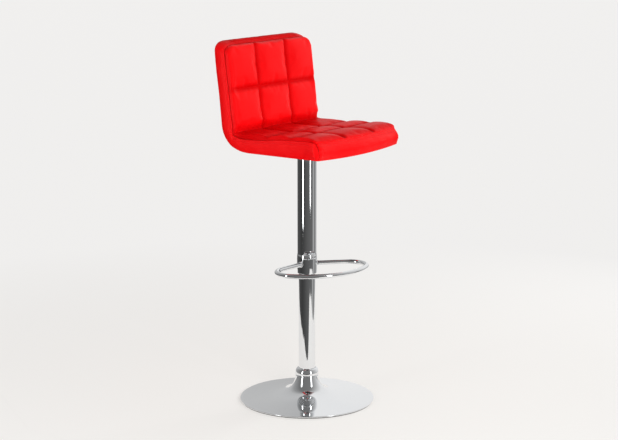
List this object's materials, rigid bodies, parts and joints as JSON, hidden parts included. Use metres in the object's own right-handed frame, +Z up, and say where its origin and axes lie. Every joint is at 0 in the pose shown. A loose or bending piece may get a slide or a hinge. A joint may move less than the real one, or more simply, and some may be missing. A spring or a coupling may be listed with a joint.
{
  "type": "adjustable swivel stool",
  "caption": "Tall swivel stool with a quilted one-piece seat and back, a gas-lift column, a D-shaped footrest and a round trumpet base.",
  "frame": {"origin": "on the floor under the column's axis, at the centre of the bounding box's bottom face", "axes": "+Z up along the column; the sitter faces -Y; +X is the sitter's left, the side of the height lever"},
  "size_m": [0.406, 0.4, 1.078],
  "materials": {
    "chrome": "polished",
    "steel": "satin",
    "black_steel": "satin",
    "cast_iron": "matte",
    "brass": "satin",
    "rubber": "matte",
    "nylon": "satin",
    "black_plastic": "satin",
    "red_leather": "satin",
    "foam": "matte",
    "plywood": "satin",
    "dust_cloth": "matte"
  },
  "bodies": {
    "base": {"base_dish": "chrome", "floor_ring": "rubber", "base_underplate": "black_steel", "base_ballast": "cast_iron", "base_socket": "steel", "foot_collar": "chrome", "standing_tube": "chrome", "guide_bush": "nylon", "bearing_lower_race": "steel"},
    "bearing": {"bearing_cage": "brass", "bearing_ball_1": "steel", "bearing_ball_2": "steel", "bearing_ball_3": "steel", "bearing_ball_4": "steel", "bearing_ball_5": "steel", "bearing_ball_6": "steel"},
    "rod": {"piston_rod": "steel", "piston": "steel", "piston_seal": "rubber", "rod_clip": "steel", "rod_bumper": "rubber", "bearing_upper_race": "steel"},
    "seat": {"pressure_tube": "chrome", "rod_guide": "nylon", "rod_seal": "rubber", "valve_body": "brass", "cover_tube": "chrome", "cover_tube_bush": "nylon", "cover_tube_top_ring": "nylon", "footrest_collar": "chrome", "footrest_ring": "chrome", "plate_hub": "black_steel", "seat_plate": "black_steel", "lever_bracket": "black_steel", "lever_pivot_pin": "steel", "seat_screw_1": "steel", "seat_screw_2": "steel", "seat_screw_3": "steel", "seat_screw_4": "steel", "tee_nut_1": "steel", "tee_nut_2": "steel", "tee_nut_3": "steel", "tee_nut_4": "steel", "seat_shell": "plywood", "seat_foam": "foam", "back_foam": "foam", "quilted_panel": "red_leather", "boxing_band": "red_leather", "rear_panel": "red_leather", "dust_cover": "dust_cloth"},
    "lever": {"lever_rod": "steel", "lever_grip": "black_plastic"},
    "release_pin": {"release_pin": "steel"}
  },
  "joints": [
    {"name": "seat_swivel", "type": "hinge", "parent": "base", "child": "rod", "pos_m": [0, 0, 0.0339], "axis": [0, 0, 1], "continuous": true},
    {"name": "bearing_turn", "type": "hinge", "parent": "base", "child": "bearing", "pos_m": [0, 0, 0.0277], "axis": [0, 0, 1], "continuous": true},
    {"name": "seat_lift", "type": "slide", "parent": "rod", "child": "seat", "axis": [0, 0, 1], "range_m": [-0.21, 0]},
    {"name": "lever_lift", "type": "hinge", "parent": "seat", "child": "lever", "pos_m": [0.03, 0, 0.7567], "axis": [0, -1, 0], "range_deg": [0, 5], "stiffness_Nm_per_rad": 2},
    {"name": "pin_press", "type": "slide", "parent": "seat", "child": "release_pin", "axis": [0, 0, -1], "range_m": [0, 0.003], "stiffness_N_per_m": 400}
  ],
  "couplings": [
    {"joint": "bearing_turn", "follows": "seat_swivel", "ratio": 0.5},
    {"joint": "pin_press", "follows": "lever_lift", "m_per_rad": 0.0305}
  ]
}
